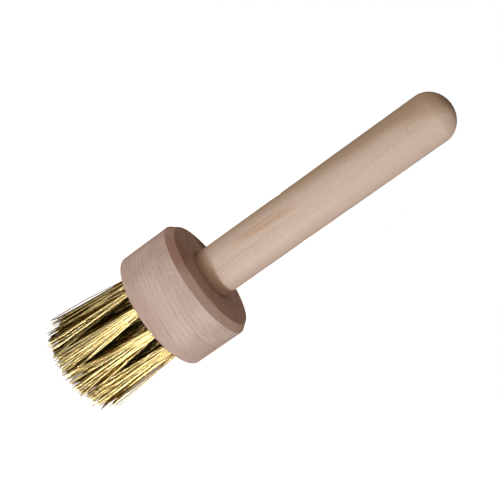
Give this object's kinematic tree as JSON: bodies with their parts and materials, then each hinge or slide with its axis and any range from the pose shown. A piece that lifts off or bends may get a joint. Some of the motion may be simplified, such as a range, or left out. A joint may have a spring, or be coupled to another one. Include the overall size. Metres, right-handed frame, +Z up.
{
  "type": "wire brush",
  "caption": "Round hand brush: brass wire tufts stapled into a chamfered beech head on a straight beech handle with a domed end.",
  "frame": {"origin": "centre of the circle of wire tips, at the brush's lowest level", "axes": "+Z runs up the brush from the wire tips through the head to the domed end of the handle; +X points to the first outer tuft"},
  "size_m": [0.055, 0.055, 0.191],
  "materials": {
    "beech_handle": "sanded bare beech, satin",
    "beech_head": "sanded bare beech, matt",
    "brass_wire": "bright drawn wire",
    "staple_steel": "bright drawn wire"
  },
  "bodies": {
    "root": {"handle": "beech_handle", "head_block": "beech_head", "tuft_outer_01": "brass_wire", "tuft_outer_02": "brass_wire", "tuft_outer_03": "brass_wire", "tuft_outer_04": "brass_wire", "tuft_outer_05": "brass_wire", "tuft_outer_06": "brass_wire", "tuft_outer_07": "brass_wire", "tuft_outer_08": "brass_wire", "tuft_outer_09": "brass_wire", "tuft_outer_10": "brass_wire", "tuft_inner_01": "brass_wire", "tuft_inner_02": "brass_wire", "tuft_inner_03": "brass_wire", "tuft_inner_04": "brass_wire", "tuft_inner_05": "brass_wire", "tuft_centre": "brass_wire", "staple_outer_01": "staple_steel", "staple_outer_02": "staple_steel", "staple_outer_03": "staple_steel", "staple_outer_04": "staple_steel", "staple_outer_05": "staple_steel", "staple_outer_06": "staple_steel", "staple_outer_07": "staple_steel", "staple_outer_08": "staple_steel", "staple_outer_09": "staple_steel", "staple_outer_10": "staple_steel", "staple_inner_01": "staple_steel", "staple_inner_02": "staple_steel", "staple_inner_03": "staple_steel", "staple_inner_04": "staple_steel", "staple_inner_05": "staple_steel", "staple_centre": "staple_steel"}
  },
  "joints": []
}
